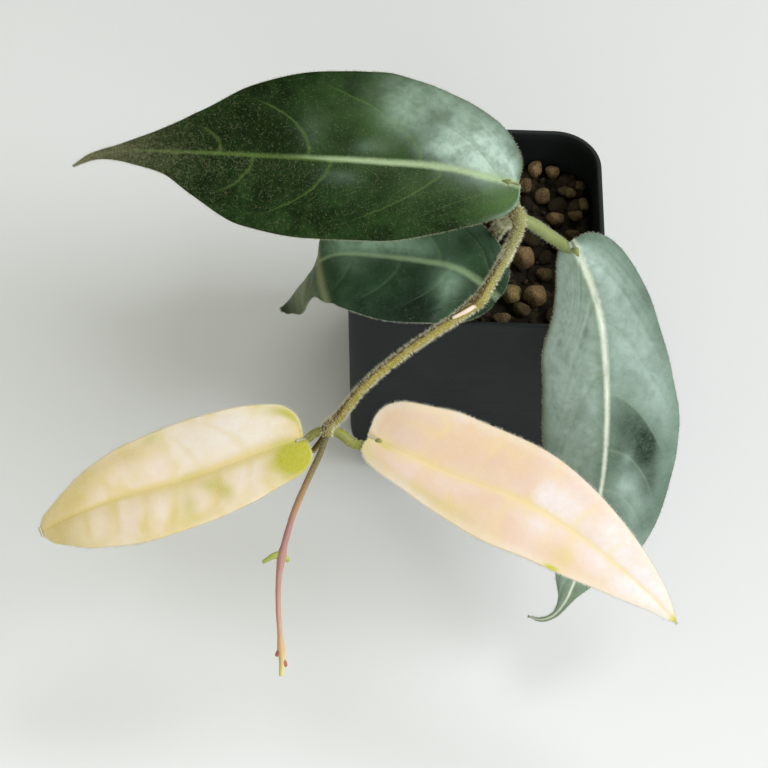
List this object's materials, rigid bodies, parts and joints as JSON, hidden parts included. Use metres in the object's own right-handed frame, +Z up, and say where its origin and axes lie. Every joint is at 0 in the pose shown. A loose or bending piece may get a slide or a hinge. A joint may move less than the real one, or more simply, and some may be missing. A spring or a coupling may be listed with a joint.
{
  "type": "potted hoya",
  "caption": "Young climbing hoya with dark mature leaves and pale new leaves on an arching hairy stem, rooted in clay granules in a square black nursery pot.",
  "frame": {"origin": "middle of the pot's underside, on the surface it stands on", "axes": "+Z up; -Y is the pot's front, over which the stem leans; +X is to the right as seen from the front"},
  "size_m": [0.1743, 0.1751, 0.1403],
  "materials": {
    "pot_plastic": "matte black moulded polypropylene",
    "clay_granules": "dry baked clay granules, tan to brown, over dark gaps",
    "stem_bark": "golden olive to brown stem with short pale hairs",
    "young_shoot": "purplish young stem with short hairs",
    "dark_leaf": "dark green, satin, faintly hairy, with a paler midrib",
    "pale_leaf": "soft pink and cream new leaf with yellow green veins"
  },
  "bodies": {
    "root": {"pot": "pot_plastic", "substrate": "clay_granules", "stem": "stem_bark", "shoot": "young_shoot", "leaf_top": "dark_leaf", "leaf_right": "dark_leaf", "leaf_low": "dark_leaf", "leaf_pale_left": "pale_leaf", "leaf_pale_right": "pale_leaf"}
  },
  "joints": []
}
